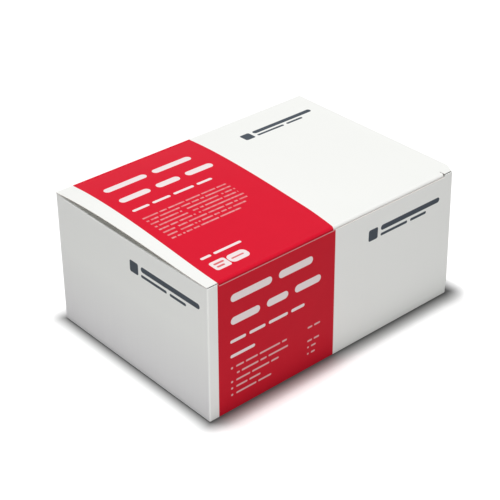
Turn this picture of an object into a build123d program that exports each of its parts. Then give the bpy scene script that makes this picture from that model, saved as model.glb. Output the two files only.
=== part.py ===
from build123d import *
from math import asin, atan2, cos, degrees, hypot, radians, sin
import os

# A tuck-top folding carton for a rapid test kit, with its contents packed inside.
# Millimetres. X runs along the long front panel, Y from the front to the back, Z up.
# The origin is the middle of the carton's footprint, on the table.

# Board of the carton
board = 0.45
fold_radius = 0.9

# Sealed foil pouches, standing on their long edges in one row along X
pouch_count = 25
pouch_length = 124.0
pouch_height = 73.0
pouch_thickness = 5.35
pouch_gap = 0.35
foil_seal = 0.4
seal_width = 8.0
device_length = 78.0
device_width = 26.0
notch_depth = 2.0

# Room around the contents
side_room = 4.05
head_room = 12.15
end_room = 0.7
bay_length = 42.8

# Folded leaflet
paper = 0.35
paper_gap = 0.3
leaflet_panels = 4
leaflet_length = 118.0
leaflet_height = 70.0
leaflet_gap = 0.35

# Buffer bottle with a dropper tip and a screw cap
bottle_diameter = 24.0
bottle_body_height = 38.0
bottle_wall = 1.2
shoulder_rise = 5.0
foot_chamfer = 1.0
neck_diameter = 13.0
neck_height = 11.0
plug_depth = 5.2
tip_flange = 1.0
tip_height = 7.0
tip_diameter = 5.0
tip_end_diameter = 3.0
tip_bore = 1.0
cap_diameter = 17.5
cap_wall = 1.3
cap_skirt = 9.5
cap_clearance = 0.3
cap_ribs = 12
cap_rib_depth = 0.35
plug_clearance = 0.05
bottle_room = 9.0

# Bag of droppers
bag_height = 58.0
bag_seal = 0.5
bag_seal_width = 7.0
bag_thickness = 26.0
bag_shoulder = 15.0
bag_gap = 1.5

# Rim and lid
rim_drop = 1.9
lid_gap = 0.2
crease_radius = 1.6
tuck_depth = 20.0
tuck_gap = 0.3
tuck_clearance = 0.5
tuck_side_clearance = 0.9
tuck_corner_radius = 9.0
slit_left = 8.0
slit_right = 10.0
slit_width = 0.5
hook_length = 3.2
hook_width = 0.5
lid_corner_x = 3.3
lid_corner_y = 6.3
corner_apex = 8.0

# Bow of the lid, which stands a little open over the left end panel and lies flat at the
# right. The pulls shape it from the left to the right and from the front to the back.
lid_bow = 2.4
bow_margin = 1.5
bow_across = (1.0, 1.1, 1.3, 0.3, 0.0)
bow_along = (0.0, 0.0, 1.2, 1.05, 1.35, 0.0)

# Dust flaps, folded in from the two ends
dust_reach = 32.0
dust_front = 4.6
dust_back = 2.0
dust_taper = 9.0
dust_droop = 2.0
dust_corner_radius = 6.0
dust_leg = 9.0
sag_left = 1.0
sag_right = 1.0
sweep_margin = 1.15

# Glued seam at the back right corner
glue_width = 15.0
glue_bevel = 6.0
seam_step = 1.3

# Interlocked bottom
hook_reach = 9.0
hook_slope = 7.0
bottom_seam = 0.5
end_flap_reach = 45.0
end_flap_inset = 4.0
end_flap_taper = 16.0

# Sizes that follow from the contents
inner_width = pouch_length + 2 * side_room
width = inner_width + 2 * board
pouch_pitch = pouch_thickness + pouch_gap
leaflet_thickness = leaflet_panels * paper + (leaflet_panels - 1) * paper_gap
row_length = pouch_count * pouch_pitch
length = (2 * board + end_room + row_length + leaflet_thickness + leaflet_gap
          + bay_length + board)
floor = 2 * board
height = floor + pouch_height + head_room + board

half_length = length / 2
half_width = width / 2
fold_top = height - board - lid_gap
rim = height - rim_drop
hinge_y = half_width - board / 2
hinge_z = height - board / 2
tuck_face_y = -half_width + board + tuck_gap
tuck_swing = hypot(hinge_y - tuck_face_y, tuck_depth) - (hinge_y - tuck_face_y)
tuck_lean = degrees(atan2(tuck_swing + tuck_clearance, tuck_depth))
row_start = -half_length + board + end_room
leaflet_start = row_start + row_length
bay_start = leaflet_start + leaflet_thickness + leaflet_gap
bay_end = half_length - 2 * board
bay_middle = (bay_start + bay_end) / 2
bottle_y = inner_width / 2 - bottle_diameter / 2 - bottle_room


def box_between(x0, x1, y0, y1, z0, z1):
    """A plain block between two corners."""
    block = Box(x1 - x0, y1 - y0, z1 - z0, align=(Align.MIN, Align.MIN, Align.MIN))
    return Pos(x0, y0, z0) * block


def plate(points, plane, thickness):
    """A flat sheet from the corners of its outline, drawn in a plane."""
    outline = make_face(Polyline(*points, close=True))
    return extrude(plane * outline, thickness)


def tray():
    """The bottom of the carton with its creased lower edges."""
    outside = extrude(RectangleRounded(length, width, fold_radius), 2 * fold_radius)
    outside = fillet(outside.faces().sort_by(Axis.Z)[0].edges(), fold_radius)
    inside_radius = fold_radius - board
    inner = RectangleRounded(length - 2 * board, width - 2 * board, inside_radius)
    return outside - extrude(Pos(0, 0, board) * inner, 2 * fold_radius)


def wall_band():
    """The four side panels as one band of board, up to the folds at the top."""
    inside_radius = fold_radius - board
    ring = RectangleRounded(length, width, fold_radius)
    ring -= RectangleRounded(length - 2 * board, width - 2 * board, inside_radius)
    base = Pos(0, 0, 2 * fold_radius)
    band = extrude(base * ring, fold_top - 2 * fold_radius)
    step = box_between(half_length - board, half_length + 1, half_width - seam_step,
                       half_width + 1, 2 * fold_radius + board, height)
    return band - step


def glue_flap():
    """The flap that goes on from the back panel, glued inside the right end panel."""
    inside_radius = fold_radius - board
    face_x = half_length - board
    outer = Pos(-board / 2, 0) * RectangleRounded(length - board, width, fold_radius)
    inner = Pos(-board / 2, 0) * RectangleRounded(
        length - 3 * board, width - 2 * board, inside_radius)
    outline = (outer - inner) & (Pos(face_x, half_width)
                                 * Rectangle(4 * fold_radius, 2 * glue_width))
    base = Pos(0, 0, 2 * fold_radius)
    flap = extrude(base * outline, fold_top - 2 * fold_radius)
    free_y = half_width - glue_width
    for z, way in ((2 * fold_radius, 1), (fold_top, -1)):
        corner = [(free_y - 1, z), (free_y + glue_width - 2 * fold_radius, z),
                  (free_y - 1, z + way * glue_bevel)]
        cut = plate(corner, Plane.YZ, 2 * board)
        flap -= Pos(face_x - 1.5 * board, 0, 0) * cut
    return flap


def bottom_seam_cut():
    """The gap between the front and back bottom flaps, which hook under each other."""
    reach = half_length - end_flap_inset
    middle = [(-reach, hook_reach), (-hook_slope, hook_reach),
              (hook_slope, -hook_reach), (reach, -hook_reach)]
    upper = [(x, y + bottom_seam / 2) for x, y in middle]
    lower = [(x, y - bottom_seam / 2) for x, y in reversed(middle)]
    return Pos(0, 0, -1) * plate(upper + lower, Plane.XY, 1 + board)


def inner_bottom():
    """The flaps that lie on the bottom panel: the two end flaps and the hooked tongues."""
    root = half_length - board
    tip = half_length - end_flap_reach
    wide = half_width - end_flap_inset
    narrow = wide - end_flap_taper
    end_flap = [(root, -wide), (root, wide), (tip, narrow), (tip, -narrow)]
    tongue_x = tip
    tongue = [(-tongue_x, -2 * hook_reach), (-hook_slope, -2 * hook_reach),
              (hook_slope, -hook_reach - bottom_seam), (tongue_x, -hook_reach - bottom_seam),
              (tongue_x, 2 * hook_reach), (hook_slope, 2 * hook_reach),
              (-hook_slope, hook_reach + bottom_seam), (-tongue_x, hook_reach + bottom_seam)]
    base = Pos(0, 0, board)
    right = plate(end_flap, Plane.XY, board)
    left = plate([(-x, y) for x, y in end_flap], Plane.XY, board)
    return [base * right, base * left, base * plate(tongue, Plane.XY, board)]


def dust_flap(side, sag):
    """One end's top fold and dust flap. The fold sags between the corners as an arc."""
    y0 = -half_width + dust_front
    y1 = half_width - dust_back
    middle_y = (y0 + y1) / 2
    half_span = (y1 - y0) / 2
    low = fold_top - sag
    arc_radius = (half_span ** 2 + sag ** 2) / (2 * sag)
    wall_x = half_length
    drop = radians(dust_droop)
    bend = 90 + dust_droop

    leg_foot = (wall_x, low - dust_leg)
    leg_head = (wall_x, low - fold_radius)
    outer_leg = Line(leg_foot, leg_head)
    outer_bend = JernArc(leg_head, (0, 1), fold_radius, bend)
    outer_top = Line(outer_bend @ 1,
                     (outer_bend @ 1) + Vector(-cos(drop), -sin(drop)) * dust_reach)
    inner_head = (wall_x - board, low - fold_radius)
    inner_bend = JernArc(inner_head, (0, 1), fold_radius - board, bend)
    inner_top = Line(inner_bend @ 1,
                     (inner_bend @ 1) + Vector(-cos(drop), -sin(drop)) * dust_reach)
    inner_leg = Line((wall_x - board, low - dust_leg), inner_head)
    profile = make_face([outer_leg, outer_bend, outer_top, Line(outer_top @ 1, inner_top @ 1),
                         inner_top, inner_bend, inner_leg,
                         Line(inner_leg @ 0, outer_leg @ 0)])

    profile_plane = Plane(origin=(0, middle_y, 0), x_dir=(1, 0, 0), z_dir=(0, -1, 0))
    swept_half = degrees(asin(half_span / (arc_radius - fold_radius))) * sweep_margin
    axis = Axis((0, middle_y, low + arc_radius), (1, 0, 0))
    strip = revolve(profile_plane * profile, axis, 2 * swept_half)
    strip = strip.rotate(axis, -swept_half)

    tip_x = wall_x - dust_reach
    shape = Polyline((wall_x + 1, y0), (wall_x - 2 * fold_radius, y0),
                     (tip_x, y0 + dust_taper), (tip_x, y1 - dust_taper),
                     (wall_x - 2 * fold_radius, y1), (wall_x + 1, y1), close=True)
    plan = make_face(shape)
    tips = plan.vertices().sort_by(Axis.X)[:2]
    plan = fillet(tips, dust_corner_radius)
    strip &= extrude(plan, height)
    if side < 0:
        strip = mirror(strip, Plane.YZ)
    return strip


def dust_window(side, sag):
    """The part of an end panel that gives way to its sagging fold."""
    y0 = -half_width + dust_front
    y1 = half_width - dust_back
    foot = fold_top - sag - dust_leg / 2
    inside = half_length - 2.5 * board
    outside = half_length + 1
    low, high = sorted((side * inside, side * outside))
    return box_between(low, high, y0, y1, foot, height)


def rim_cut():
    """The front panel's lower top edge, between the two slit locks."""
    left = -half_length + slit_left - slit_width
    right = half_length - slit_right + slit_width
    return box_between(left, right, -half_width - 1, -half_width + 2 * board, rim, height)


def pressed_corner(body):
    """The front right corner fold, pressed flat in a narrow triangle up to the lid."""
    apex = Vector(half_length, -half_width, corner_apex)
    at_front = Vector(half_length - lid_corner_x, -half_width, fold_top)
    at_end = Vector(half_length, -half_width + lid_corner_y, fold_top)
    outward = (at_end - apex).cross(at_front - apex).normalized()
    if outward.X < 0:
        outward = -outward
    face = Plane(origin=apex, z_dir=outward)
    room = box_between(half_length - 2 * lid_corner_y, half_length, -half_width,
                       -half_width + 2 * lid_corner_y, corner_apex, fold_top)
    reach = Rectangle(4 * height, 4 * height)
    layer = extrude(face * reach, -board) & room
    outside = extrude(face * reach, 2 * lid_corner_y)
    return body - outside + layer


def carton():
    """The folded and glued blank, without the lid that is hinged on its back panel."""
    body = tray() + wall_band()
    body -= bottom_seam_cut()
    for flap in inner_bottom():
        body += flap
    body -= rim_cut()
    body += glue_flap()
    for side, sag in ((-1, sag_left), (1, sag_right)):
        body -= dust_window(side, sag)
        body += dust_flap(side, sag)
    return pressed_corner(body)


def bowed_sheet(x1, y0, y1):
    """The board of the top panel, arched upwards from its free left edge on."""
    reach = x1 + half_length
    steps_x = len(bow_across) - 1
    steps_y = len(bow_along) - 1
    rows = []
    for i, across in enumerate(bow_across):
        x = -half_length + reach * i / steps_x
        row = []
        for j, along in enumerate(bow_along):
            y = y0 + (y1 - y0) * j / steps_y
            row.append(Vector(x, y, height - board + lid_bow * across * along))
        rows.append(row)
    underside = Face.make_bezier_surface(rows)
    return Solid.extrude(underside, Vector(0, 0, board))


def lid_panel():
    """The top panel, ending in a round edge on the hinge line."""
    root = tuck_face_y + crease_radius
    neck_left = -half_length + slit_left
    neck_right = half_length - slit_right
    points = [(-half_length, hinge_y), (-half_length, tuck_face_y), (neck_left, tuck_face_y),
              (neck_left, root), (neck_right, root), (neck_right, tuck_face_y),
              (half_length - lid_corner_x, tuck_face_y),
              (half_length, tuck_face_y + lid_corner_y), (half_length, hinge_y)]
    panel = Pos(0, 0, height - board) * plate(points, Plane.XY, board)
    bow_front = root + bow_margin
    bow_back = hinge_y - bow_margin
    bow_end = half_length - 2 * lid_corner_x
    panel -= box_between(-half_length - 1, bow_end, bow_front, bow_back,
                         height - 2 * board, height + board)
    panel += bowed_sheet(bow_end, bow_front, bow_back)
    hinge_edge = Rot(0, 90, 0) * Cylinder(board / 2, length)
    panel += Pos(0, hinge_y, hinge_z) * hinge_edge
    hook = box_between(neck_right, neck_right + hook_width, tuck_face_y - 1,
                       tuck_face_y + hook_length, height - 2 * board, height + 1)
    return panel - hook


def tuck_flap():
    """The rolled front crease and the flap that tucks in behind the front panel."""
    root = (tuck_face_y + crease_radius, height)
    bend = 90 + tuck_lean
    lean = radians(tuck_lean)
    down = Vector(sin(lean), -cos(lean))
    outer_bend = JernArc(root, (-1, 0), crease_radius, bend)
    inner_root = (root[0], height - board)
    inner_bend = JernArc(inner_root, (-1, 0), crease_radius - board, bend)
    reach = (tuck_depth - crease_radius) / cos(lean)
    outer = Line(outer_bend @ 1, (outer_bend @ 1) + down * reach)
    inner = Line(inner_bend @ 1, (inner_bend @ 1) + down * reach)
    profile = make_face([outer_bend, outer, Line(outer @ 1, inner @ 1), inner, inner_bend,
                         Line(inner_root, root)])
    strip = Pos(-half_length, 0, 0) * extrude(Plane.YZ * profile, length)

    neck_left = -half_length + slit_left
    neck_right = half_length - slit_right
    shoulder = height - crease_radius - slit_width
    left = -half_length + board + tuck_side_clearance
    right = half_length - board - tuck_side_clearance - lid_corner_x
    tip = (inner @ 1).Y
    outline = make_face(Polyline(
        (neck_left, height + 1), (neck_left, shoulder), (left, shoulder),
        (left, tip), (right, tip), (right, shoulder), (neck_right, shoulder),
        (neck_right, height + 1), close=True))
    tips = outline.vertices().sort_by(Axis.Y)[:2]
    outline = fillet(tips, tuck_corner_radius)
    depth = extrude(Plane.XZ * outline, 2 * width, both=True)
    return strip & depth


def lid():
    """The hinged top with its tuck flap, in one piece."""
    return lid_panel() + tuck_flap()


def pillow(thickness, seal, reach_y, reach_z, flat_y, flat_z):
    """The bulge of a filled pack: where a long and a short cushion profile cross."""
    swell = (thickness - seal) / 2
    profiles = []
    for reach, flat in ((reach_y, flat_y), (reach_z, flat_z)):
        fall = reach - flat
        radius = (fall ** 2 + swell ** 2) / (2 * swell)
        turn = degrees(asin(fall / radius))
        edges = []
        for side in (-1, 1):
            face = side * thickness / 2
            edges.append(Line((-flat, face), (flat, face)))
            edges.append(JernArc((flat, face), (1, 0), radius, -side * turn))
            edges.append(JernArc((-flat, face), (-1, 0), radius, side * turn))
        edges.append(Line((reach, -seal / 2), (reach, seal / 2)))
        edges.append(Line((-reach, -seal / 2), (-reach, seal / 2)))
        profiles.append(make_face(edges))
    lengthwise = Plane(origin=(0, 0, 0), x_dir=(0, 1, 0), z_dir=(0, 0, 1)) * profiles[0]
    upright = Plane(origin=(0, 0, 0), x_dir=(0, 0, 1), z_dir=(0, -1, 0)) * profiles[1]
    return extrude(lengthwise, reach_z, both=True) & extrude(upright, reach_y, both=True)


def pouch(start):
    """A sealed foil pouch on its long edge, bulging over the test device inside it."""
    sheet = Rectangle(pouch_length, pouch_height)
    notch_x = pouch_length / 2
    notch_y = pouch_height / 2 - seal_width / 2
    notch = make_face(Polyline((notch_x + 1, notch_y + notch_depth),
                               (notch_x - notch_depth, notch_y),
                               (notch_x + 1, notch_y - notch_depth), close=True))
    body = extrude(Plane.YZ * (sheet - notch), foil_seal / 2, both=True)
    body += pillow(pouch_thickness, foil_seal, pouch_length / 2 - seal_width,
                   pouch_height / 2 - seal_width, device_length / 2, device_width / 2)
    return Pos(start + pouch_thickness / 2, 0, floor + pouch_height / 2) * body


def leaflet():
    """The instruction sheet, folded to and fro and standing beside the pouches."""
    pitch = paper + paper_gap
    half = leaflet_length / 2
    turn = pitch / 2
    sheet = None
    for panel in range(leaflet_panels):
        x = paper / 2 + panel * pitch
        strip = Pos(x, 0) * Rectangle(paper, 2 * (half - turn - paper / 2))
        sheet = strip if sheet is None else sheet + strip
        if panel:
            way = 1 if panel % 2 else -1
            bend_y = way * (half - turn - paper / 2)
            bend = Circle(turn + paper / 2) - Circle(turn - paper / 2)
            half_plane = Pos(0, way * half / 2) * Rectangle(4 * pitch, half)
            sheet += Pos(x - turn, bend_y) * (bend & half_plane)
    return Pos(leaflet_start, 0, floor) * extrude(sheet, leaflet_height)


def bottle():
    """The squeeze bottle: a hollow body with a shoulder and a neck."""
    outer = bottle_diameter / 2
    inner = outer - bottle_wall
    neck = neck_diameter / 2
    throat = neck - bottle_wall
    top = bottle_body_height
    neck_foot = top + shoulder_rise
    neck_top = neck_foot + neck_height
    shell = make_face(Polyline(
        (0, 0), (outer - foot_chamfer, 0), (outer, foot_chamfer), (outer, top),
        (neck, neck_foot), (neck, neck_top), (throat, neck_top),
        (throat, top - bottle_wall), (inner, top - bottle_wall), (inner, bottle_wall),
        (0, bottle_wall), close=True))
    return Pos(bay_middle, bottle_y, floor) * revolve(Plane.XZ * shell, Axis.Z)


def dropper_tip():
    """The plug pressed into the neck, with the spout that lets out single drops."""
    throat = neck_diameter / 2 - bottle_wall - plug_clearance
    neck_top = bottle_body_height + shoulder_rise + neck_height
    spout = tip_diameter / 2
    bore = tip_bore / 2
    spout_end = tip_end_diameter / 2
    flange = neck_diameter / 2 - cap_clearance
    flange_top = neck_top + tip_flange
    spout_top = neck_top + tip_height
    outline = make_face(Polyline(
        (bore, neck_top - plug_depth), (throat, neck_top - plug_depth), (throat, neck_top),
        (flange, neck_top), (flange, flange_top), (spout, flange_top),
        (spout_end, spout_top), (bore, spout_top), close=True))
    return Pos(bay_middle, bottle_y, floor) * revolve(Plane.XZ * outline, Axis.Z)


def bottle_cap():
    """The ribbed screw cap over the neck and the spout."""
    neck_top = bottle_body_height + shoulder_rise + neck_height
    foot = neck_top - cap_skirt
    inner = neck_diameter / 2 + cap_clearance
    outer = cap_diameter / 2
    spout = tip_diameter / 2 + cap_clearance
    step = neck_top + tip_flange + cap_clearance
    inside_top = neck_top + tip_height + cap_clearance
    end = spout + cap_wall
    outline = make_face(Polyline(
        (inner, foot), (outer, foot), (outer, step + cap_wall),
        (end, inside_top + cap_wall), (0, inside_top + cap_wall), (0, inside_top),
        (spout, inside_top), (spout, step), (inner, step), close=True))
    cap = revolve(Plane.XZ * outline, Axis.Z)
    rib_height = step + cap_wall - foot - foot_chamfer
    groove = Cylinder(cap_rib_depth, rib_height, align=(Align.CENTER, Align.CENTER, Align.MIN))
    for turn in range(cap_ribs):
        cap -= Rot(0, 0, 360 / cap_ribs * turn) * Pos(outer, 0, foot) * groove
    return Pos(bay_middle, bottle_y, floor) * cap


def dropper_bag():
    """The sealed bag that holds the droppers, standing in the bay beside the bottle."""
    y0 = -inner_width / 2 + bag_gap
    y1 = bottle_y - bottle_diameter / 2 - bag_gap
    bag_length = y1 - y0
    sheet = Rectangle(bag_length, bag_height)
    body = extrude(Plane.YZ * sheet, bag_seal / 2, both=True)
    half_y = bag_length / 2 - bag_seal_width
    half_z = bag_height / 2 - bag_seal_width
    body += pillow(bag_thickness, bag_seal, half_y, half_z,
                   half_y - bag_shoulder, half_z - bag_shoulder)
    middle_x = bay_end - bag_gap - bag_thickness / 2
    return Pos(middle_x, (y0 + y1) / 2, floor + bag_height / 2) * body


def write(shape, name):
    """Writes one piece as parts/NAME.step."""
    shape.label = name
    export_step(shape, f"parts/{name}.step")


os.makedirs("parts", exist_ok=True)
write(carton(), "carton")
write(lid(), "lid")
for number in range(pouch_count):
    write(pouch(row_start + number * pouch_pitch), f"pouch_{number + 1:02d}")
write(leaflet(), "leaflet")
write(bottle(), "buffer_bottle")
write(dropper_tip(), "dropper_tip")
write(bottle_cap(), "bottle_cap")
write(dropper_bag(), "dropper_bag")
print("outside", round(length, 3), round(width, 3), round(height, 3))
print("tuck lean", round(tuck_lean, 3), "bay", round(bay_start, 3), round(bay_end, 3))
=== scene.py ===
import math

import bpy
from bpy.props import FloatProperty, FloatVectorProperty, IntProperty, PointerProperty
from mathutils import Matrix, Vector, noise


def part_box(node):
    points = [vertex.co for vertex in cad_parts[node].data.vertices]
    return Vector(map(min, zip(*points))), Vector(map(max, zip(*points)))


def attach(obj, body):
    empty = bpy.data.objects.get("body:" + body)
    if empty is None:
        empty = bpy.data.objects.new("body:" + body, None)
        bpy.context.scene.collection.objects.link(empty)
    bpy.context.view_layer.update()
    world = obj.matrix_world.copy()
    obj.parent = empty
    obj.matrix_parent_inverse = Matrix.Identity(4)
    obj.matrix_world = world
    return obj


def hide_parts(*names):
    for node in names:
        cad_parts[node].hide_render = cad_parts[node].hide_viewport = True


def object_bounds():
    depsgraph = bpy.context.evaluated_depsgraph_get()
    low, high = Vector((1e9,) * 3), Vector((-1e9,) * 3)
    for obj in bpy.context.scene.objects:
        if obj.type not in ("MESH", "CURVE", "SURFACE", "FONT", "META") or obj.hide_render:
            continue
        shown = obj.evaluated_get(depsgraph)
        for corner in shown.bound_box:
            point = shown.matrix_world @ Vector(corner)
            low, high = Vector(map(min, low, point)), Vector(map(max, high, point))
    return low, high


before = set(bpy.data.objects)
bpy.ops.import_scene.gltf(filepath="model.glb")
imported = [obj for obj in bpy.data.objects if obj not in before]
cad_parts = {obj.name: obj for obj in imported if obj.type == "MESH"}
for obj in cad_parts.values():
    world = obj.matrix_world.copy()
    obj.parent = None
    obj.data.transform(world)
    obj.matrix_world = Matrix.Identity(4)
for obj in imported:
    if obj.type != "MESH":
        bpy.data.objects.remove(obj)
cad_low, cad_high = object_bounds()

bl_info = {
    "name": "Test kit carton",
    "version": (1, 0, 0),
    "blender": (4, 5, 0),
    "location": "View3D > Sidebar > Kit",
    "description": "Board, print, foil and plastics of a packed test kit carton",
    "category": "Object",
}

MM = 0.001
POUCHES = [f"pouch_{number:02d}" for number in range(1, 26)]
POUCH_SIZE = [high - low for low, high in zip(*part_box(POUCHES[0]))]

# Places on the carton, in millimetres from the middle of its foot
HALF_LENGTH = cad_high[0] / MM
HALF_WIDTH = cad_high[1] / MM
TOP = 86.5
BOARD = 0.45
FRONT_RIM = 84.6
ROLL_START = -64.15
SLITS = (-87.0, 85.0)
FLAP_LEVEL = 78.0

# How near a face a point lies that belongs to it, in millimetres
SKIN = 0.3
PRINT_DEPTH = 0.25
TOUCH = 0.02

# How far a surface must face a way to count as that face
FLAP_UP = 0.35
LID_UP = 0.5
ROLL_UP = 0.3
ROLL_FRONT = -0.25
SIDEWAYS = 0.7

# Softness of the print's edges, in millimetres
BAR_EDGE = 0.25
FIELD_EDGE = 0.3
SMALL_EDGE = 0.5

# Painted shadow: a dark ring painted on the floor round the carton's foot. Given here: how much
# further out it stands at the right end, how far it reaches, both in millimetres, and how dark it
# is at the foot
CONTACT_RIGHT = 3.0
CONTACT_REACH = 11.5
CONTACT_DEPTH = 0.82
CONTACT_CURVE = 1.2

# Floor: its grey to the light, to the eye and in the painted shadow ring, its glow, its reach and
# its drop
FLOOR_LIT = (0.62, 0.62, 0.62)
FLOOR_SEEN = (0.94, 0.94, 0.94)
FLOOR_PAINTED_SHADOW = (0.02, 0.02, 0.02)
FLOOR_GLOW = 0.16
FLOOR_REACH = 6.0
FLOOR_DROP = 0.0002

# Lamps and camera, in metres
KEY_PLACE = (-0.20, 0.42, 4.0)
KEY_SIZE = 0.75
FILL_PLACE = (-1.42, -1.75, 0.45)
FILL_SIZE = 0.8
LAMP_AIM = (0.0, 0.0, 0.04)
CAMERA_PLACE = (-0.463965, -0.512451, 0.468718)
CAMERA_BACK = (-0.56551304, -0.63389997, 0.52760386)

# Painted shade on the left end, darker towards its foot: the height where half of it is left and
# the height over which it fades, both in millimetres, its strength, and that of the streaks in the
# white, everywhere and low down
SHADE_LEVEL = 30.0
SHADE_SPREAD = 44.0
SHADE_DEPTH = 0.40
STREAKS = 0.03
LOW_STREAKS = 0.08

# Strength of the ink of the smaller print
SMALL_INK = 0.62
TINY_INK = 0.44
PILL_INK = 0.8

BLACK = (0.0, 0.0, 0.0)
FULL_WHITE = (1.0, 1.0, 1.0)

# Print on the front panel, in millimetres. A field is its left and right edges, a bar row is
# its level, thickness and spans, and a lean is how far an edge moves for each millimetre.
# The rows of the list share one thickness, and a point is its middle and its level.
FRONT_FIELD = (-88.4, -2.3)
FRONT_LEAN = 0.0165
RIM_RED = (0.50, 0.17, 0.18)
BARE_LINE = (0.93, 0.93, 0.92)
BARE_LINE_WIDTH = 0.5
FRONT_BARS = [
    (73.0, 4.8, [(-79.5, -50.5), (-45.5, -20.5)]),
    (58.6, 4.8, [(-79.5, -59.0), (-54.0, -38.5), (-33.5, -14.0)]),
    (45.8, 2.0, [(-80.0, -69.0), (-66.5, -55.0), (-52.5, -38.5), (-36.0, -26.0)]),
    (36.2, 2.0, [(-80.0, -62.5)]),
]
FRONT_LIST = [
    (28.5, [(-76.0, -70.5), (-69.0, -60.5), (-59.0, -44.0), (-42.5, -39.0)]),
    (23.9, [(-75.5, -73.5), (-72.0, -60.0), (-58.5, -54.0), (-52.5, -38.0)]),
    (19.3, [(-76.0, -66.0), (-64.5, -52.0), (-50.5, -45.0)]),
    (15.0, [(-76.0, -68.0), (-66.5, -58.5)]),
    (10.6, [(-76.0, -61.5), (-60.0, -50.5)]),
    (28.5, [(-23.0, -19.5), (-18.0, -13.5)]),
    (19.3, [(-23.0, -19.5), (-18.0, -14.0)]),
    (15.0, [(-23.0, -21.8), (-20.0, -16.5)]),
    (10.6, [(-23.0, -21.8), (-20.0, -17.0)]),
]
FRONT_LIST_THICKNESS = 1.05
FRONT_POINTS = [(-79.0, 28.5), (-79.0, 19.3), (-79.0, 15.0), (-79.0, 10.6)]
POINT_RADIUS = 0.7
POINT_THICKNESS = 1.3

# Print on the lid. Its right edge bends back near the front, from a place over a length.
LID_FIELD = (-85.6, 0.1)
LID_LEAN = (0.034, 0.042)
LID_BEND_START = -38.0
LID_BEND_LENGTH = 27.0
LID_BEND = 2.0
LID_PRINT_LOW = TOP - 9.0
LID_BARS = [
    (45.6, 5.0, [(-76.2, -46.5), (-41.5, -13.5)]),
    (30.0, 5.0, [(-77.0, -56.0), (-51.0, -34.5), (-29.5, -9.8)]),
    (16.7, 2.1, [(-78.3, -66.8), (-64.3, -51.8), (-49.3, -34.8), (-32.3, -21.3)]),
    (-43.8, 1.9, [(-80.4, -73.4), (-71.4, -52.4)]),
]

# Block of tiny rows on the lid: where it starts and where each row ends
TINY_START = -79.2
TINY_ENDS = (-19.4, -19.0, -18.8, -19.6, -18.6, -19.2, -23.2, -30.2)

# Rows of short strokes: the top and pitch of the rows and the length of a stroke, all in
# millimetres, the share of strokes left out, the strength of the faintest, half the height
# of a stroke as a share of the pitch, and a shift that keeps the two draws apart
TINY_ROWS = {"top": 8.4, "pitch": 3.6, "stroke": 1.25, "gaps": 0.17, "faint": 0.55,
             "half_height": 0.16, "shift": 57.0}

# Round-ended label on the lid: start, stop, level and height, and the bars on it
PILL = (-80.2, -56.2, -53.3, 7.4)
PILL_DIVIDER = -69.5
PILL_BARS = [
    (-51.9, 1.5, [(-78.4, -71.5)]),
    (-54.7, 1.5, [(-78.4, -73.1)]),
    (-53.3, 1.2, [(-67.3, -58.8)]),
]

# Plain mark: its size, the corner of its block, the gap beside it, each bar's rise and
# thickness and where the thin one runs, then its start and level on each face
MARK_LENGTH = 59.0
MARK_HEIGHT = 7.4
MARK_CORNER = 1.2
MARK_GAP = 2.4
MARK_BAR = (1.8, 3.4)
MARK_THIN_BAR = (-2.5, 1.8)
MARK_THIN_RUNS = ((0.0, 22.0), (24.5, 38.0))
FRONT_MARK = (23.0, 69.4)
END_MARK = (1.0, 69.8)
LID_MARK = (26.6, 44.3)
LID_MARK_MIDDLE = 57.0
LID_MARK_LEAN = 0.02
MARK_INK = 0.94

# Two columns of rows on the leaflet, under a heading, in millimetres
LEAFLET_ROWS = {"top": 66.5, "pitch": 2.6, "stroke": 1.3, "gaps": 0.18, "faint": 0.5,
                "half_height": 0.17, "shift": 31.0}
LEAFLET_COUNT = 23.0
LEAFLET_HEADING = (68.2, 1.9, [(-50.0, -32.0), (-29.0, -12.0)])
COLUMN_MIDDLE = 27.5
COLUMN_HALF = 23.5
LEAFLET_INK = (0.06, 0.07, 0.09)


class Value:
    """A number that changes over a surface. Arithmetic on it adds Math nodes."""

    def __init__(self, nodes, socket):
        self.nodes = nodes
        self.socket = socket

    def math(self, operation, *numbers, clamp=False):
        settings = {"operation": operation, "use_clamp": clamp}
        node = self.nodes.add("ShaderNodeMath", settings, dict(enumerate(numbers)))
        return Value(self.nodes, node.outputs[0])

    def __add__(self, other):
        return self.math("ADD", self, other)

    __radd__ = __add__

    def __sub__(self, other):
        return self.math("SUBTRACT", self, other)

    def __rsub__(self, other):
        return self.math("SUBTRACT", other, self)

    def __mul__(self, other):
        return self.math("MULTIPLY", self, other)

    __rmul__ = __mul__

    def __truediv__(self, other):
        return self.math("DIVIDE", self, other)

    def __neg__(self):
        return self.math("MULTIPLY", self, -1.0)

    def __pow__(self, other):
        return self.math("POWER", self, other)

    def __abs__(self):
        return self.math("ABSOLUTE", self)

    def __gt__(self, other):
        return self.math("GREATER_THAN", self, other)

    def __lt__(self, other):
        return self.math("LESS_THAN", self, other)

    def __and__(self, other):
        return self.math("MINIMUM", self, other)

    def __or__(self, other):
        return self.math("MAXIMUM", self, other)

    def floor(self):
        return self.math("FLOOR", self)

    def fraction(self):
        return self.math("FRACT", self)

    def wave(self):
        return self.math("SINE", self)

    def clamp(self):
        return self.math("ADD", self, 0.0, clamp=True)


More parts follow.
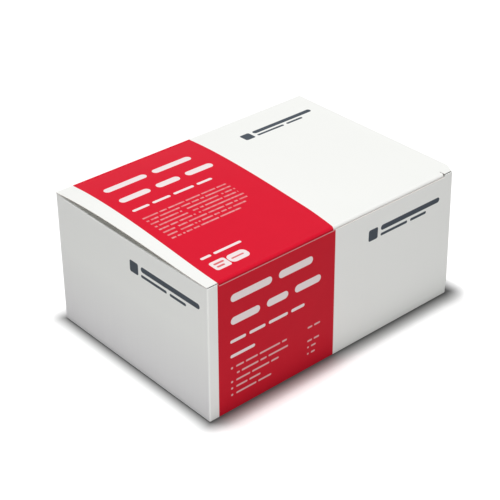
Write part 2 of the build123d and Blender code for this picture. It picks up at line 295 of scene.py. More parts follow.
class Nodes:
    """The emptied nodes of a material or a world, and the one way to add to them."""

    def __init__(self, owner):
        owner.use_nodes = True
        self.tree = owner.node_tree
        self.tree.nodes.clear()

    def add(self, kind, settings=None, inputs=None):
        node = self.tree.nodes.new(kind)
        for name, value in (settings or {}).items():
            setattr(node, name, value)
        for name, value in (inputs or {}).items():
            self.feed(node.inputs[name], value)
        return node

    def feed(self, socket, value):
        if isinstance(value, Value):
            value = value.socket
        if isinstance(value, bpy.types.NodeSocket):
            self.tree.links.new(value, socket)
        else:
            socket.default_value = value

    def rays(self, *names):
        """1 for each kind of ray that is named, from the Light Path node."""
        path = self.add("ShaderNodeLightPath")
        return together([Value(self, path.outputs[name]) for name in names])


class Finish(Nodes):
    """One material: its shader and the expressions that colour it."""

    def __init__(self, name, **fixed):
        self.material = bpy.data.materials.new(name)
        super().__init__(self.material)
        self.shader = self.add("ShaderNodeBsdfPrincipled")
        self.add("ShaderNodeOutputMaterial", {}, {"Surface": self.shader.outputs[0]})
        for socket, value in fixed.items():
            self.set(socket.replace("_", " "), value)

    def set(self, name, value):
        self.feed(self.shader.inputs[name], value)

    def place(self):
        """The point on the surface in millimetres, and its three numbers."""
        here = self.add("ShaderNodeTexCoord").outputs["Object"]
        scaled = self.add("ShaderNodeVectorMath", {"operation": "SCALE"},
                          {0: here, "Scale": 1 / MM})
        return scaled.outputs[0], self.numbers(scaled.outputs[0])

    def facing(self):
        """The three numbers of the surface's own direction."""
        return self.numbers(self.add("ShaderNodeTexCoord").outputs["Normal"])

    def numbers(self, vector):
        parts = self.add("ShaderNodeSeparateXYZ", {}, {0: vector})
        return [Value(self, parts.outputs[axis]) for axis in range(3)]

    def noise(self, point, sizes, detail, roughness):
        """Cloudy noise, whose grain has a size along each axis."""
        scaled = self.add("ShaderNodeVectorMath", {"operation": "DIVIDE"}, {0: point, 1: sizes})
        node = self.add("ShaderNodeTexNoise", {}, {
            "Vector": scaled.outputs[0], "Scale": 1.0, "Detail": detail, "Roughness": roughness})
        return Value(self, node.outputs[0])

    def scatter(self, across, along):
        """A random number for each pair of whole numbers."""
        pair = self.add("ShaderNodeCombineXYZ", {}, {0: across, 1: along})
        node = self.add("ShaderNodeTexWhiteNoise", {"noise_dimensions": "2D"},
                        {"Vector": pair.outputs[0]})
        return Value(self, node.outputs[0])

    def mix(self, mask, under, over):
        """One colour under another, which shows where the mask is 1."""
        node = self.add("ShaderNodeMix", {"data_type": "RGBA"})
        self.feed(node.inputs["Factor"], mask)
        sockets = [socket for socket in node.inputs if socket.type == "RGBA"]
        for socket, colour in zip(sockets, (under, over)):
            made = isinstance(colour, bpy.types.NodeSocket)
            self.feed(socket, colour if made else (*colour, 1.0))
        return [socket for socket in node.outputs if socket.type == "RGBA"][0]

    def bump(self, height, distance, strength):
        node = self.add("ShaderNodeBump", {}, {
            "Height": height, "Distance": distance * MM, "Strength": strength})
        self.set("Normal", node.outputs[0])


def darker(colour, share):
    """A colour brought down to a share of itself."""
    return tuple(share * part for part in colour)


def soft_step(value, edge, softness):
    """0 below an edge and 1 above it, with a soft line between."""
    return ((value - edge) / softness + 0.5).clamp()


def field(value, low, high, softness=BAR_EDGE):
    """1 between two edges, which may be expressions too."""
    return soft_step(value - low, 0.0, softness) * soft_step(high - value, 0.0, softness)


def bar_row(across, up, level, thickness, spans, softness=BAR_EDGE):
    """A row of bars with round ends, one to each span."""
    radius = thickness / 2
    reach = None
    for start, stop in spans:
        beyond = abs(across - (start + stop) / 2) - ((stop - start) / 2 - radius)
        reach = beyond if reach is None else reach & beyond
    reach = reach | 0.0
    rise = abs(up - level)
    away = (reach * reach + rise * rise) ** 0.5
    return soft_step(-away, -radius, softness)


def round_box(across, up, start, stop, level, height, radius):
    """A box with round corners."""
    reach = (abs(across - (start + stop) / 2) - ((stop - start) / 2 - radius)) | 0.0
    rise = (abs(up - level) - (height / 2 - radius)) | 0.0
    away = (reach * reach + rise * rise) ** 0.5
    return soft_step(-away, -radius, BAR_EDGE)


def together(masks):
    """The union of several masks."""
    whole = masks[0]
    for mask in masks[1:]:
        whole = whole | mask
    return whole


def plain_mark(across, up, place):
    """A plain block with a bar and a thinner, broken bar beside it."""
    start, level = place
    left = start + MARK_HEIGHT + MARK_GAP
    (rise, thickness), (thin_rise, thin) = MARK_BAR, MARK_THIN_BAR
    return together([
        round_box(across, up, start, start + MARK_HEIGHT, level, MARK_HEIGHT, MARK_CORNER),
        bar_row(across, up, level + rise, thickness, [(left, start + MARK_LENGTH)]),
        bar_row(across, up, level + thin_rise, thin,
                [(left + first, left + last) for first, last in MARK_THIN_RUNS]),
    ])


def tiny_strokes(finish, across, up, top, pitch, stroke, gaps, faint, half_height, shift):
    """Rows of short strokes of uneven strength, with gaps. Also gives the place in the rows."""
    step = (top - up) / pitch
    row = step.floor()
    column = (across / stroke).floor()
    strength = finish.scatter(column, row)
    kept = finish.scatter(column + shift, row) > gaps
    in_row = soft_step(-abs(step.fraction() - 0.5), -half_height, 0.14)
    return in_row * kept * (faint + (1.0 - faint) * strength), step, row


def board_surface(finish, point, settings, raw, inside):
    """Coated board outside, plain board inside, raw core at the cut edges."""
    fibre = finish.noise(point, (0.5, 0.5, 0.5), 3.0, 0.6)
    cloud = finish.noise(point, (26.0, 26.0, 26.0), 1.0, 0.4)
    finish.set("Roughness", settings.roughness + 0.10 * (fibre - 0.5) + 0.35 * (inside | raw))
    finish.bump(fibre * 0.012 + cloud * 0.55 + inside * fibre * 0.03, 1.0, 0.55)
    return fibre


def paper_colours(finish, fibre, outside_colour, settings, inside, raw, core):
    """The outside colour, with the plain inside and the raw edges in their places."""
    grain = (0.9 + 0.2 * fibre).clamp()
    plain = finish.mix(grain, darker(settings.inside_colour, 0.82), settings.inside_colour)
    return finish.mix(raw, finish.mix(inside, outside_colour, plain), core)


def carton_finish(settings):
    """Board of the carton, with the print of the front panel and of the left end, and painted
    shade low on the left end.
    """
    finish = Finish("carton_board", Specular_IOR_Level=settings.shine)
    point, (x, y, z) = finish.place()
    out_z = finish.facing()[2]
    flap_top = (z > FLAP_LEVEL) & (out_z > FLAP_UP)
    inside = 1.0 - together([
        abs(x) > HALF_LENGTH - SKIN, abs(y) > HALF_WIDTH - SKIN, z < 0.2, flap_top])
    at_front = y < -HALF_WIDTH + PRINT_DEPTH
    at_left = x < -HALF_LENGTH + PRINT_DEPTH
    between_slits = (x > SLITS[0]) & (x < SLITS[1])
    rim_cut = (y < -HALF_WIDTH + BOARD + TOUCH) & (z > FRONT_RIM - TOUCH) & between_slits
    fibre = board_surface(finish, point, settings, rim_cut, inside)

    streaks = finish.noise(point, (4.0, 3.0, 90.0), 3.0, 0.7)
    # Painted shade: the white of the left end turns greyer towards its foot, and its streaks grow
    # stronger there
    painted_low_shade = soft_step(-z, -SHADE_LEVEL, SHADE_SPREAD) * at_left
    shade = (STREAKS + LOW_STREAKS * painted_low_shade) * streaks + SHADE_DEPTH * painted_low_shade
    white = finish.mix(shade, settings.white, settings.painted_shade_colour)
    front_field = field(x, FRONT_FIELD[0], FRONT_FIELD[1] - z * FRONT_LEAN, FIELD_EDGE)
    red = front_field * at_front
    ink_grain = finish.noise(point, (9.0, 9.0, 14.0), 2.0, 0.5)
    ink = finish.mix(ink_grain, darker(settings.front_red, 0.94), settings.front_red)
    colour = finish.mix(red, white, ink)

    bars = together([bar_row(x, z, *bar) for bar in FRONT_BARS])
    colour = finish.mix(bars * red, colour, settings.print_white)
    small = [bar_row(x, z, level, FRONT_LIST_THICKNESS, spans, SMALL_EDGE)
             for level, spans in FRONT_LIST]
    small += [bar_row(x, z, level, POINT_THICKNESS,
                      [(middle - POINT_RADIUS, middle + POINT_RADIUS)], SMALL_EDGE)
              for middle, level in FRONT_POINTS]
    colour = finish.mix(together(small) * red * SMALL_INK, colour, settings.print_white)

    edge_light = (z > FRONT_RIM - SKIN) & at_front & between_slits
    colour = finish.mix(edge_light * (0.1 + 0.25 * red), colour, settings.edge_colour)
    bare_line = field(x, FRONT_FIELD[0] - BARE_LINE_WIDTH, FRONT_FIELD[0], 0.2) * at_front
    colour = finish.mix(bare_line * 0.5, colour, BARE_LINE)

    front_mark = plain_mark(x, z, FRONT_MARK) * at_front
    end_mark = plain_mark(-y, z, END_MARK) * at_left
    colour = finish.mix((front_mark | end_mark) * MARK_INK, colour, settings.mark_colour)
    core = finish.mix(front_field, settings.edge_colour, RIM_RED)
    finish.set("Base Color", paper_colours(finish, fibre, colour, settings, inside, rim_cut, core))
    return finish.material


def lid_finish(settings):
    """Board of the lid, with the print of its top, which runs on over the rolled crease."""
    finish = Finish("lid_board", Specular_IOR_Level=settings.shine)
    point, (x, y, z) = finish.place()
    out_x, out_y, out_z = finish.facing()
    on_top = (z > TOP - 0.2) & (out_z > LID_UP)
    inside = 1.0 - together([
        on_top, out_y < ROLL_FRONT, (out_z > ROLL_UP) & (y < ROLL_START + 0.5),
        y > HALF_WIDTH - 0.35])
    cut_ends = (abs(out_x) > SIDEWAYS) & (z > 0.0)
    fibre = board_surface(finish, point, settings, cut_ends, inside)

    near_front = ((LID_BEND_START - y) / LID_BEND_LENGTH).clamp()
    left = LID_FIELD[0] + LID_LEAN[0] * y
    right = LID_FIELD[1] + LID_LEAN[1] * y - near_front * near_front * LID_BEND
    red = field(x, left, right, FIELD_EDGE) * soft_step(z, LID_PRINT_LOW, FIELD_EDGE)
    ink_grain = finish.noise(point, (12.0, 12.0, 12.0), 2.0, 0.5)
    ink = finish.mix(ink_grain, darker(settings.lid_red, 0.95), settings.lid_red)
    colour = finish.mix(red, settings.white, ink)

    bars = together([bar_row(x, y, *bar) for bar in LID_BARS])
    colour = finish.mix(bars * on_top, colour, settings.print_white)

    tiny, step, row = tiny_strokes(finish, x, y, **TINY_ROWS)
    row_end = TINY_ENDS[0]
    for number, stop in enumerate(TINY_ENDS):
        match = (row > number - 0.5) & (row < number + 0.5)
        row_end = match * (stop - TINY_ENDS[0]) + row_end
    tiny = tiny * field(x, TINY_START, row_end) * (step > 0.0) * (step < float(len(TINY_ENDS)))
    colour = finish.mix(tiny * on_top * TINY_INK, colour, settings.print_white)

    start, stop, level, height = PILL
    pill = together([
        round_box(x, y, start, PILL_DIVIDER - 0.3, level, height + 0.8, 1.6),
        round_box(x, y, PILL_DIVIDER + 0.3, stop, level, height, 3.0),
    ])
    colour = finish.mix(pill * on_top, colour, settings.print_white)
    on_pill = together([bar_row(x, y, *bar) for bar in PILL_BARS])
    colour = finish.mix(on_pill * on_top * PILL_INK, colour, settings.lid_red)
    mark = plain_mark(x, y - (x - LID_MARK_MIDDLE) * LID_MARK_LEAN, LID_MARK) * on_top
    colour = finish.mix(mark * MARK_INK, colour, settings.mark_colour)
    finish.set("Base Color", paper_colours(
        finish, fibre, colour, settings, inside, cut_ends, settings.edge_colour))
    return finish.material


def foil_finish(settings):
    """Silver foil laminate with fine crimped lines on the seals."""
    finish = Finish("foil", Metallic=0.85)
    point, (_, y, z) = finish.place()
    seal = settings.seal_width / MM
    at_ends = abs(y) > settings.length / MM / 2 - seal
    in_seal = at_ends | (abs(z) > settings.height / MM / 2 - seal)
    across = at_ends * z + (1.0 - at_ends) * y
    crimp = (across * (2 * math.pi * MM / settings.crimp_pitch)).wave() * in_seal
    creases = finish.noise(point, (7.0, 9.0, 7.0), 5.0, 0.62)
    fine = finish.noise(point, (1.6, 1.6, 1.6), 3.0, 0.6)
    finish.bump(crimp * 0.10 + abs(creases - 0.5) * 1.3 + fine * 0.09, 1.0, 0.8)
    finish.set("Roughness", 0.26 + 0.16 * creases + 0.10 * in_seal)
    bright = settings.foil_colour
    finish.set("Base Color", finish.mix(creases, darker(bright, 0.82), bright))
    return finish.material


def leaflet_finish(settings):
    """Thin white paper with rows of small grey bars on its broad faces."""
    finish = Finish("leaflet_paper")
    point, (_, y, z) = finish.place()
    broad_face = abs(finish.facing()[0]) > SIDEWAYS
    fibre = finish.noise(point, (0.4, 0.4, 0.4), 3.0, 0.6)
    tiny, step, _ = tiny_strokes(finish, y, z, **LEAFLET_ROWS)
    tiny = tiny * (step > 0.0) * (step < LEAFLET_COUNT)
    column = (abs(abs(y) - COLUMN_MIDDLE) < COLUMN_HALF) * broad_face
    heading = bar_row(y, z, *LEAFLET_HEADING) * broad_face
    white = settings.paper_colour
    paper = finish.mix(fibre, darker(white, 0.94), white)
    finish.set("Base Color", finish.mix(tiny * column * 0.75 | heading, paper, LEAFLET_INK))
    finish.set("Roughness", 0.72 + 0.1 * fibre)
    finish.bump(fibre, 0.02, 0.6)
    return finish.material


def plastic_finish(name, colour, roughness):
    """Moulded plastic with a faint unevenness in its gloss."""
    finish = Finish(name)
    point, _ = finish.place()
    cloud = finish.noise(point, (6.0, 6.0, 6.0), 3.0, 0.5)
    finish.set("Base Color", finish.mix(cloud, darker(colour, 0.95), colour))
    finish.set("Roughness", roughness + 0.05 * (cloud - 0.5))
    finish.bump(cloud, 0.05, 0.5)
    return finish.material


def bag_finish(settings):
    """Clear film, drawn tight over the droppers, that looks milky from outside."""
    finish = Finish("bag_film", Coat_Weight=0.6, Coat_Roughness=0.12)
    point, _ = finish.place()
    creases = finish.noise(point, (5.0, 12.0, 6.0), 5.0, 0.65)
    fine = finish.noise(point, (2.0, 4.0, 2.0), 3.0, 0.6)
    film = settings.film_colour
    finish.set("Base Color", finish.mix(creases, darker(film, 0.80), film))
    finish.set("Roughness", 0.22 + 0.2 * fine)
    finish.bump(abs(creases - 0.5) * 2.4 + fine * 0.2, 1.0, 0.7)
    return finish.material


def floor_finish():
    """Even paper, white to the eye, with a painted shadow: a dark ring painted round the carton's
    foot, which also dims the floor's glow.
    """
    finish = Finish("floor_paper", Roughness=0.9, Specular_IOR_Level=0.0)
    seen = finish.rays("Is Glossy Ray", "Is Camera Ray")
    _, (x, y, _) = finish.place()
    beside = (abs(x - CONTACT_RIGHT / 2) - HALF_LENGTH - CONTACT_RIGHT / 2) | 0.0
    before = (abs(y) - HALF_WIDTH) | 0.0
    away = (beside * beside + before * before) ** 0.5 / CONTACT_REACH
    # Painted shadow, darkest at the carton's foot and gone at the reach
    painted_shadow = (1.0 - away).clamp() ** CONTACT_CURVE * CONTACT_DEPTH
    paper = finish.mix(seen, FLOOR_LIT, FLOOR_SEEN)
    finish.set("Base Color", finish.mix(painted_shadow, paper, FLOOR_PAINTED_SHADOW))
    finish.set("Emission Color", finish.mix(seen * (1.0 - painted_shadow), BLACK, FULL_WHITE))
    finish.set("Emission Strength", FLOOR_GLOW)
    return finish.material


def new_mesh(name, points, faces, material):
    """A smooth mesh with one material."""
    mesh = bpy.data.meshes.new(name)
    mesh.from_pydata(points, [], faces)
    mesh.validate()
    mesh.update()
    mesh.polygons.foreach_set("use_smooth", [True] * len(mesh.polygons))
    mesh.materials.append(material)
    return mesh


def put(scene, name, data, place):
    """A new object at a place in the scene."""
    made = bpy.data.objects.new(name, data)
    made.location = place
    scene.collection.objects.link(made)
    return made


def aim(piece, direction):
    """Turns a lamp or the camera to look along a direction."""
    piece.rotation_mode = "QUATERNION"
    piece.rotation_quaternion = Vector(direction).to_track_quat("-Z", "Y")


def mesh_object(scene, name, points, faces, material):
    """A mesh in the row frame, whose origin is the middle of its box."""
    low = Vector([min(p[axis] for p in points) for axis in range(3)])
    high = Vector([max(p[axis] for p in points) for axis in range(3)])
    middle = (low + high) / 2
    mesh = new_mesh(name, [Vector(p) - middle for p in points], faces, material)
    return put(scene, name, mesh, middle)


def box_of(node):
    """The corners of a node's box as vectors."""
    return [Vector(corner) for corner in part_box(node)]


def even_steps(reach, count):
    """Places from one end to the other, the same distance apart."""
    return [-reach + index * 2 * reach / count for index in range(count + 1)]


def sheet_pair(columns, rows, half_thickness):
    """Front and back faces of a closed flat pack from a grid of (y, z) places."""
    points = []
    faces = []
    count = len(rows)
    back = len(columns) * count
    for side in (1, -1):
        base = len(points)
        points += [(side * half_thickness(column, row, side), column, row)
                   for column in columns for row in rows]
        for i in range(len(columns) - 1):
            for j in range(count - 1):
                a, b = base + i * count + j, base + (i + 1) * count + j
                quad = [a, b, b + 1, a + 1]
                faces.append(quad if side > 0 else quad[::-1])
    last = back - count
    for j in range(count - 1):
        faces.append([j, j + 1, back + j + 1, back + j])
        faces.append([last + j + 1, last + j, back + last + j, back + last + j + 1])
    for i in range(len(columns) - 1):
        a, b = i * count, (i + 1) * count
        faces.append([b, a, back + a, back + b])
        a, b = a + count - 1, b + count - 1
        faces.append([a, b, back + b, back + a])
    return points, faces


def hump(distance, flat, reach):
    """1 on the flat middle, falling smoothly to 0 at the reach."""
    if distance <= flat:
        return 1.0
    if distance >= reach:
        return 0.0
    return math.cos((distance - flat) / (reach - flat) * math.pi / 2) ** 1.4


def pouch_points(settings, seed):
    """A foil pouch that bulges over a flat device, with creases running to its seals."""
    flat_y, flat_z = 0.036, 0.011
    edge_wave = 0.0006
    notch = 0.002
    half_y = settings.length / 2
    half_z = settings.height / 2
    seal = settings.seal_width
    swell = settings.thickness / 2
    thin = settings.foil_thickness / 2
    depth = settings.crease_depth
    notch_z = half_z - seal / 2

    def half_thickness(y, z, side):
        rise = hump(abs(y), flat_y, half_y - seal) * hump(abs(z), flat_z, half_z - seal)
        away = noise.noise(Vector((y * 70 + seed * 3.7, z * 85 + side * 9.0, seed * 1.3)))
        fold = abs(noise.noise(Vector((y * 160 + seed, z * 60 - side * 5.0, seed * 2.1))))
        crease = (0.5 + 0.5 * away) * depth + fold * depth * 0.8
        return thin + max(0.0, rise * (swell - thin) - crease * min(1.0, rise * 3.0))

    points, faces = sheet_pair(even_steps(half_y, 62), even_steps(half_z, 36), half_thickness)
    shaped = []
    for x, y, z in points:
        wave = noise.noise(Vector((y * 40 + seed * 5.1, z * 40, 4.0))) * edge_wave
        edge = max(abs(y) / half_y, abs(z) / half_z) ** 6
        near = max(0.0, 1.0 - abs(z - notch_z) / notch)
        inward = near * notch if abs(y) > half_y - 1e-6 else 0.0
        shaped.append((x + wave * edge, y - math.copysign(inward, y), z))
    return shaped, faces


def lathe(profile, segments, centre, ripple=None):
    """A turned shape from (radius, height) pairs. The ripple changes radii round the turn."""
    points = []
    faces = []
    for step in range(segments):
        angle = 2 * math.pi * step / segments
        for radius, height in profile:
            reach = radius + (ripple(angle, radius, height) if ripple else 0.0)
            points.append((centre[0] + reach * math.cos(angle),
                           centre[1] + reach * math.sin(angle), centre[2] + height))
    count = len(profile)
    for step in range(segments):
        a, b = step * count, (step + 1) % segments * count
        for index in range(count):
            after = (index + 1) % count
            faces.append([a + index, b + index, b + after, a + after])
    return points, faces


def rounded(corners, radius, steps=4):
    """A closed outline with its corners rounded, from (radius, height) pairs."""
    outline = []
    for index, corner in enumerate(corners):
        here = Vector(corner)
        before = Vector(corners[index - 1]) - here
        after = Vector(corners[(index + 1) % len(corners)]) - here
        reach = min(radius, before.length * 0.45, after.length * 0.45)
        start = here + before.normalized() * reach
        stop = here + after.normalized() * reach
        for step in range(steps + 1):
            t = step / steps
            outline.append(tuple((1 - t) ** 2 * start + 2 * t * (1 - t) * here + t ** 2 * stop))
    return outline


# A lathe's inner ring stands this far from its axis, in metres
NEAR_AXIS = 0.0001


def bottle_section(reach):
    """The bottle's wall from its dished foot over the shoulder to the neck, and back inside."""
    wall = 0.0012
    shoulder, neck_foot, neck_top = 0.0375, 0.0432, 0.054
    neck, neck_bore = 0.0065, 0.0053
    return rounded([
        (NEAR_AXIS, 0.0), (0.0085, 0.0004), (reach, 0.0), (reach, shoulder),
        (0.0066, neck_foot), (neck, neck_top), (neck_bore, neck_top), (neck_bore, 0.0425),
        (reach - wall, 0.0366), (reach - wall, wall), (NEAR_AXIS, 0.0014)], 0.0022)


def tip_section():
    """The plug in the neck, its flange and the tapered spout, with a bore through them."""
    bore, plug, flange = 0.0005, 0.00525, 0.0062
    plug_foot, neck_top, flange_top, spout_top = 0.0488, 0.054, 0.055, 0.061
    return rounded([
        (bore, plug_foot), (plug, plug_foot), (plug, neck_top), (flange, neck_top),
        (flange, flange_top), (0.0027, flange_top), (0.0015, spout_top), (bore, spout_top)],
        0.0004)


def cap_section(reach, tall):
    """The cap's skirt and cone, hollow inside. Its wall has a ring where the ribs fade out."""
    bore, well, wall = 0.0068, 0.0028, 0.0013
    skirt_top, ceiling, tip = 0.0118, 0.0108, 0.0042
    fade = 0.0004
    outline = rounded([
        (bore, 0.0), (reach, 0.0), (reach, skirt_top), (tip, tall), (NEAR_AXIS, tall),
        (NEAR_AXIS, tall - wall), (well, tall - wall), (well, ceiling), (bore, ceiling)], 0.0007)
    section = []
    for index, (radius, height) in enumerate(outline):
        section.append((radius, height))
        after = outline[(index + 1) % len(outline)]
        on_wall = min(radius, after[0]) > reach - 1e-5
        if on_wall and after[1] - height > 0.004:
            section += [(reach, height + fade), (reach, after[1] - fade)]
    return section


def dress(name, material):
    """Gives a node of the frame its finish."""
    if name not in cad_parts:
        raise RuntimeError(f"The frame has no node {name}")
    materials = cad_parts[name].data.materials
    materials.clear()
    materials.append(material)


def settle(piece, body, slot, *nodes):
    """A piece that rides on a body and stands for nodes of the frame."""
    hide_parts(*nodes)
    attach(piece, body)


class BoardSettings(bpy.types.PropertyGroup):
    white: FloatVectorProperty(
        name="White board", description="Coated outside of the board", subtype="COLOR",
        size=3, min=0.0, max=1.0, default=(0.855, 0.862, 0.838))
    # Colour of the faint streaks in the white, and of the painted shade low on the left end
    painted_shade_colour: FloatVectorProperty(
        name="Shade", description="Greyer coating in streaks and low on the left end",
        subtype="COLOR", size=3, min=0.0, max=1.0, default=(0.60, 0.58, 0.62))
    inside_colour: FloatVectorProperty(
        name="Inside", description="Plain inside of the board", subtype="COLOR",
        size=3, min=0.0, max=1.0, default=(0.70, 0.68, 0.62))
    edge_colour: FloatVectorProperty(
        name="Cut edge", description="Raw core at the cut edges", subtype="COLOR",
        size=3, min=0.0, max=1.0, default=(0.78, 0.72, 0.69))
    lid_red: FloatVectorProperty(
        name="Lid red", description="Field of red on the lid", subtype="COLOR",
        size=3, min=0.0, max=1.0, default=(0.67, 0.009, 0.030))
    front_red: FloatVectorProperty(
        name="Front red", description="Field of red on the front panel", subtype="COLOR",
        size=3, min=0.0, max=1.0, default=(0.57, 0.010, 0.025))
    print_white: FloatVectorProperty(
        name="Print white", description="White bars in the red", subtype="COLOR",
        size=3, min=0.0, max=1.0, default=(0.84, 0.74, 0.74))
    mark_colour: FloatVectorProperty(
        name="Mark", description="Dark blue of the plain mark", subtype="COLOR",
        size=3, min=0.0, max=1.0, default=(0.010, 0.024, 0.045))
    roughness: FloatProperty(
        name="Roughness", description="Gloss of the coated board", default=0.48,
        min=0.0, max=1.0, subtype="FACTOR")
    shine: FloatProperty(
        name="Shine", description="Strength of the coated board's reflection", default=0.06,
        min=0.0, max=1.0, subtype="FACTOR")


class PouchSettings(bpy.types.PropertyGroup):
    length: FloatProperty(name="Length", description="Long side of a pouch", unit="LENGTH",
                          default=POUCH_SIZE[1])
    height: FloatProperty(name="Height", description="Short side of a pouch", unit="LENGTH",
                          default=POUCH_SIZE[2])
    thickness: FloatProperty(name="Thickness", description="Thickest place of a filled pouch",
                             unit="LENGTH", default=POUCH_SIZE[0])
    foil_thickness: FloatProperty(name="Seal thickness", description="Two foils and their seal",
                                  unit="LENGTH", default=0.0004)
    seal_width: FloatProperty(name="Seal width", description="Width of the crimped border",
                              unit="LENGTH", default=0.008)
    crimp_pitch: FloatProperty(name="Crimp pitch",
                               description="From one crimped line to the next",
                               unit="LENGTH", default=0.0014)
    crease_depth: FloatProperty(name="Crease depth", description="Depth of the foil's creases",
                                unit="LENGTH", default=0.0007)
    foil_colour: FloatVectorProperty(
        name="Foil", description="Colour of the foil", subtype="COLOR", size=3,
        min=0.0, max=1.0, default=(0.74, 0.75, 0.77))
    shapes: IntProperty(name="Shapes", description="Differently creased pouches, used in turn",
                        default=5, min=1, max=25)


class LeafletSettings(bpy.types.PropertyGroup):
    paper_colour: FloatVectorProperty(
        name="Paper", description="Colour of the leaflet's paper", subtype="COLOR", size=3,
        min=0.0, max=1.0, default=(0.86, 0.86, 0.84))


class BottleSettings(bpy.types.PropertyGroup):
    body_colour: FloatVectorProperty(
        name="Bottle", description="Milky plastic of the bottle", subtype="COLOR", size=3,
        min=0.0, max=1.0, default=(0.84, 0.86, 0.86))
    cap_colour: FloatVectorProperty(
        name="Cap", description="Glossy plastic of the cap", subtype="COLOR", size=3,
        min=0.0, max=1.0, default=(0.86, 0.86, 0.86))
    ribs: IntProperty(name="Ribs", description="Grip ribs round the cap", default=36,
                      min=8, max=72)
    rib_depth: FloatProperty(name="Rib depth", description="Depth of the grip ribs",
                             unit="LENGTH", default=0.0003)


class BagSettings(bpy.types.PropertyGroup):
    seal_width: FloatProperty(name="Seal width", description="Flat border of the bag",
                              unit="LENGTH", default=0.007)
    dropper_pitch: FloatProperty(name="Dropper pitch",
                                 description="From one dropper to the next",
                                 unit="LENGTH", default=0.0075)
    film_colour: FloatVectorProperty(
        name="Film", description="Colour of the filled bag", subtype="COLOR", size=3,
        min=0.0, max=1.0, default=(0.78, 0.82, 0.84))


class StageSettings(bpy.types.PropertyGroup):
    lens: FloatProperty(name="Lens",
                        description="Focal length on a 36 mm sensor, in millimetres",
                        default=98.79)
    key_power: FloatProperty(name="Key", description="Power of the lamp overhead, in watts",
                             default=141.0)
    fill_power: FloatProperty(name="Fill", description="Power of the lamp in front, in watts",
                              default=23.3)
    sky: FloatProperty(name="Sky", description="Strength of the even light from all round",
                       default=0.12, min=0.0, max=1.0)


class KIT_OT_carton(bpy.types.Operator):
    """Finishes the carton's board and prints its front and its left end"""
    bl_idname = "kit.carton"
    bl_label = "Carton"

    def execute(self, context):
        dress("carton", carton_finish(context.scene.kit_board))
        return {"FINISHED"}


class KIT_OT_lid(bpy.types.Operator):
    """Finishes the lid's board and prints its top"""
    bl_idname = "kit.lid"
    bl_label = "Lid"

    def execute(self, context):
        dress("lid", lid_finish(context.scene.kit_board))
        return {"FINISHED"}


class KIT_OT_pouches(bpy.types.Operator):
    """Makes the creased foil pouches in their row"""
    bl_idname = "kit.pouches"
    bl_label = "Foil pouches"

    def execute(self, context):
        settings = context.scene.kit_pouch
        material = foil_finish(settings)
        shapes = [new_mesh(f"pouch_shape_{seed}", *pouch_points(settings, seed), material)
                  for seed in range(1, settings.shapes + 1)]
        for index, node in enumerate(POUCHES):
            low, high = box_of(node)
            piece = put(context.scene, f"foil_{node}", shapes[index * 3 % settings.shapes],
                        (low + high) / 2)
            settle(piece, "carton", "foil", node)
        return {"FINISHED"}


class KIT_OT_leaflet(bpy.types.Operator):
    """Finishes the folded leaflet"""
    bl_idname = "kit.leaflet"
    bl_label = "Leaflet"

    def execute(self, context):
        dress("leaflet", leaflet_finish(context.scene.kit_leaflet))
        return {"FINISHED"}


class KIT_OT_bottle(bpy.types.Operator):
    """Makes the buffer bottle, its dropper tip and its ribbed cap"""
    bl_idname = "kit.bottle"
    bl_label = "Buffer bottle"

    def execute(self, context):
        settings = context.scene.kit_bottle
        scene = context.scene
        milky = plastic_finish("bottle_plastic", settings.body_colour, 0.34)
        tip_plastic = plastic_finish("tip_plastic", settings.body_colour, 0.3)
        glossy = plastic_finish("cap_plastic", settings.cap_colour, 0.22)

        low, high = box_of("buffer_bottle")
        centre = ((low.x + high.x) / 2, (low.y + high.y) / 2, low.z)
        points, faces = lathe(bottle_section((high.x - low.x) / 2), 72, centre)
        settle(mesh_object(scene, "bottle_body", points, faces, milky),
               "carton", "bottle_plastic", "buffer_bottle")
        points, faces = lathe(tip_section(), 40, centre)
        settle(mesh_object(scene, "bottle_spout", points, faces, tip_plastic),
               "carton", "tip_plastic", "dropper_tip")

        low, high = box_of("bottle_cap")
        reach = (high.x - low.x) / 2
        rib_foot, rib_top, rib_band = 0.0009, 0.0112, 0.0012

        def ripple(angle, radius, height):
            if not (rib_foot < height < rib_top and radius > reach - rib_band):
                return 0.0
            return -settings.rib_depth * (0.5 - 0.5 * math.cos(angle * settings.ribs))

        points, faces = lathe(cap_section(reach, high.z - low.z), settings.ribs * 6,
                              (centre[0], centre[1], low.z), ripple)
        settle(mesh_object(scene, "ribbed_cap", points, faces, glossy),
               "cap", "cap_plastic", "bottle_cap")
        return {"FINISHED"}


class KIT_OT_bag(bpy.types.Operator):
    """Makes the sealed bag, with the droppers standing out under its film"""
    bl_idname = "kit.bag"
    bl_label = "Dropper bag"

    def execute(self, context):
        settings = context.scene.kit_bag
        low, high = box_of("dropper_bag")
        middle = (low + high) / 2
        half = (high - low) / 2
        filled_y, filled_z = half.y - settings.seal_width, half.z - settings.seal_width
        shoulder_y, shoulder_z = 0.016, 0.015
        film, skin = 0.00025, 0.0003
        hollow, tube_rise, crease_depth = 0.0042, 0.0030, 0.0008
        lane_shift, lane_lean = 0.002, 0.06

        def half_thickness(y, z, side):
            rise = hump(abs(y), filled_y - shoulder_y, filled_y)
            rise *= hump(abs(z), filled_z - shoulder_z, filled_z)
            lane = (z + side * lane_shift + y * lane_lean * side) / settings.dropper_pitch
            tube = math.sqrt(max(0.0, 1.0 - (2 * (lane - math.floor(lane)) - 1) ** 2))
            crease = noise.noise(Vector((y * 55, z * 90, side * 3.0))) * crease_depth
            thick = rise * (half.x - hollow + tube_rise * tube) + crease * min(1.0, rise * 4)
            return film + max(0.0, min(half.x - skin, thick))

        points, faces = sheet_pair(even_steps(half.y, 96), even_steps(half.z, 88),
                                   half_thickness)
        placed = [Vector(p) + middle for p in points]
        piece = mesh_object(context.scene, "droppers_in_bag", placed, faces,
                            bag_finish(settings))
        settle(piece, "carton", "bag_film", "dropper_bag")
        return {"FINISHED"}


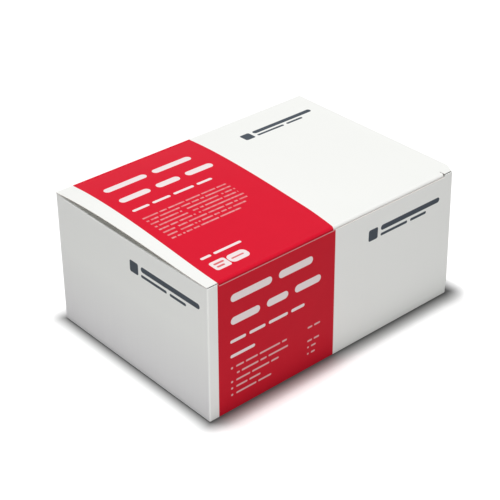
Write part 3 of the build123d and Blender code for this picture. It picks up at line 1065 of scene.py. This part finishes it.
class KIT_OT_stage(bpy.types.Operator):
    """Sets the floor, the lamps, the sky and the camera"""
    bl_idname = "kit.stage"
    bl_label = "Stage"

    def execute(self, context):
        settings = context.scene.kit_stage
        scene = context.scene
        scene.view_settings.view_transform = "Standard"
        self.floor(scene)
        self.lamp(scene, "key", KEY_PLACE, KEY_SIZE, settings.key_power)
        self.lamp(scene, "fill", FILL_PLACE, FILL_SIZE, settings.fill_power)
        self.sky(scene, settings.sky)
        self.camera(scene, settings.lens)
        return {"FINISHED"}

    def floor(self, scene):
        corners = [(x * FLOOR_REACH, y * FLOOR_REACH, 0.0)
                   for x, y in ((-1, -1), (1, -1), (1, 1), (-1, 1))]
        mesh = new_mesh("floor", corners, [[0, 1, 2, 3]], floor_finish())
        put(scene, "floor", mesh, (0.0, 0.0, -FLOOR_DROP))

    def lamp(self, scene, name, place, size, power):
        data = bpy.data.lights.new(name, "AREA")
        data.shape = "RECTANGLE"
        data.size = data.size_y = size
        data.energy = power
        aim(put(scene, name, data, place), Vector(LAMP_AIM) - Vector(place))

    def sky(self, scene, strength):
        """Even light, which is white to the eye and dim to everything else."""
        scene.world = bpy.data.worlds.new("sky")
        nodes = Nodes(scene.world)
        seen = nodes.rays("Is Camera Ray", "Is Glossy Ray", "Is Transmission Ray")
        back = nodes.add("ShaderNodeBackground", {}, {
            "Color": (*FULL_WHITE, 1.0), "Strength": seen * (1.0 - strength) + strength})
        nodes.add("ShaderNodeOutputWorld", {}, {"Surface": back.outputs[0]})

    def camera(self, scene, lens):
        data = bpy.data.cameras.new("camera")
        data.lens = lens
        data.sensor_width = 36.0
        data.clip_start = 0.01
        made = put(scene, "camera", data, CAMERA_PLACE)
        aim(made, -Vector(CAMERA_BACK))
        scene.camera = made


class KIT_PT_panel(bpy.types.Panel):
    """Lists the steps and their settings"""
    bl_idname = "KIT_PT_panel"
    bl_label = "Test kit carton"
    bl_space_type = "VIEW_3D"
    bl_region_type = "UI"
    bl_category = "Kit"

    def draw(self, context):
        for operator in OPERATORS:
            self.layout.operator(operator.bl_idname)
        for name, group in GROUPS.items():
            box = self.layout.box()
            for setting in group.__annotations__:
                box.prop(getattr(context.scene, name), setting)


OPERATORS = (KIT_OT_carton, KIT_OT_lid, KIT_OT_pouches, KIT_OT_leaflet, KIT_OT_bottle,
             KIT_OT_bag, KIT_OT_stage)
GROUPS = {
    "kit_board": BoardSettings,
    "kit_pouch": PouchSettings,
    "kit_leaflet": LeafletSettings,
    "kit_bottle": BottleSettings,
    "kit_bag": BagSettings,
    "kit_stage": StageSettings,
}


def register():
    for item in (*GROUPS.values(), *OPERATORS, KIT_PT_panel):
        bpy.utils.register_class(item)
    for name, group in GROUPS.items():
        setattr(bpy.types.Scene, name, PointerProperty(type=group))


def unregister():
    for name in GROUPS:
        delattr(bpy.types.Scene, name)
    for item in reversed((*GROUPS.values(), *OPERATORS, KIT_PT_panel)):
        bpy.utils.unregister_class(item)


def main():
    """Runs every step in order."""
    register()
    for operator in OPERATORS:
        group, name = operator.bl_idname.split(".")
        getattr(getattr(bpy.ops, group), name)()


if __name__ == "__main__":
    main()
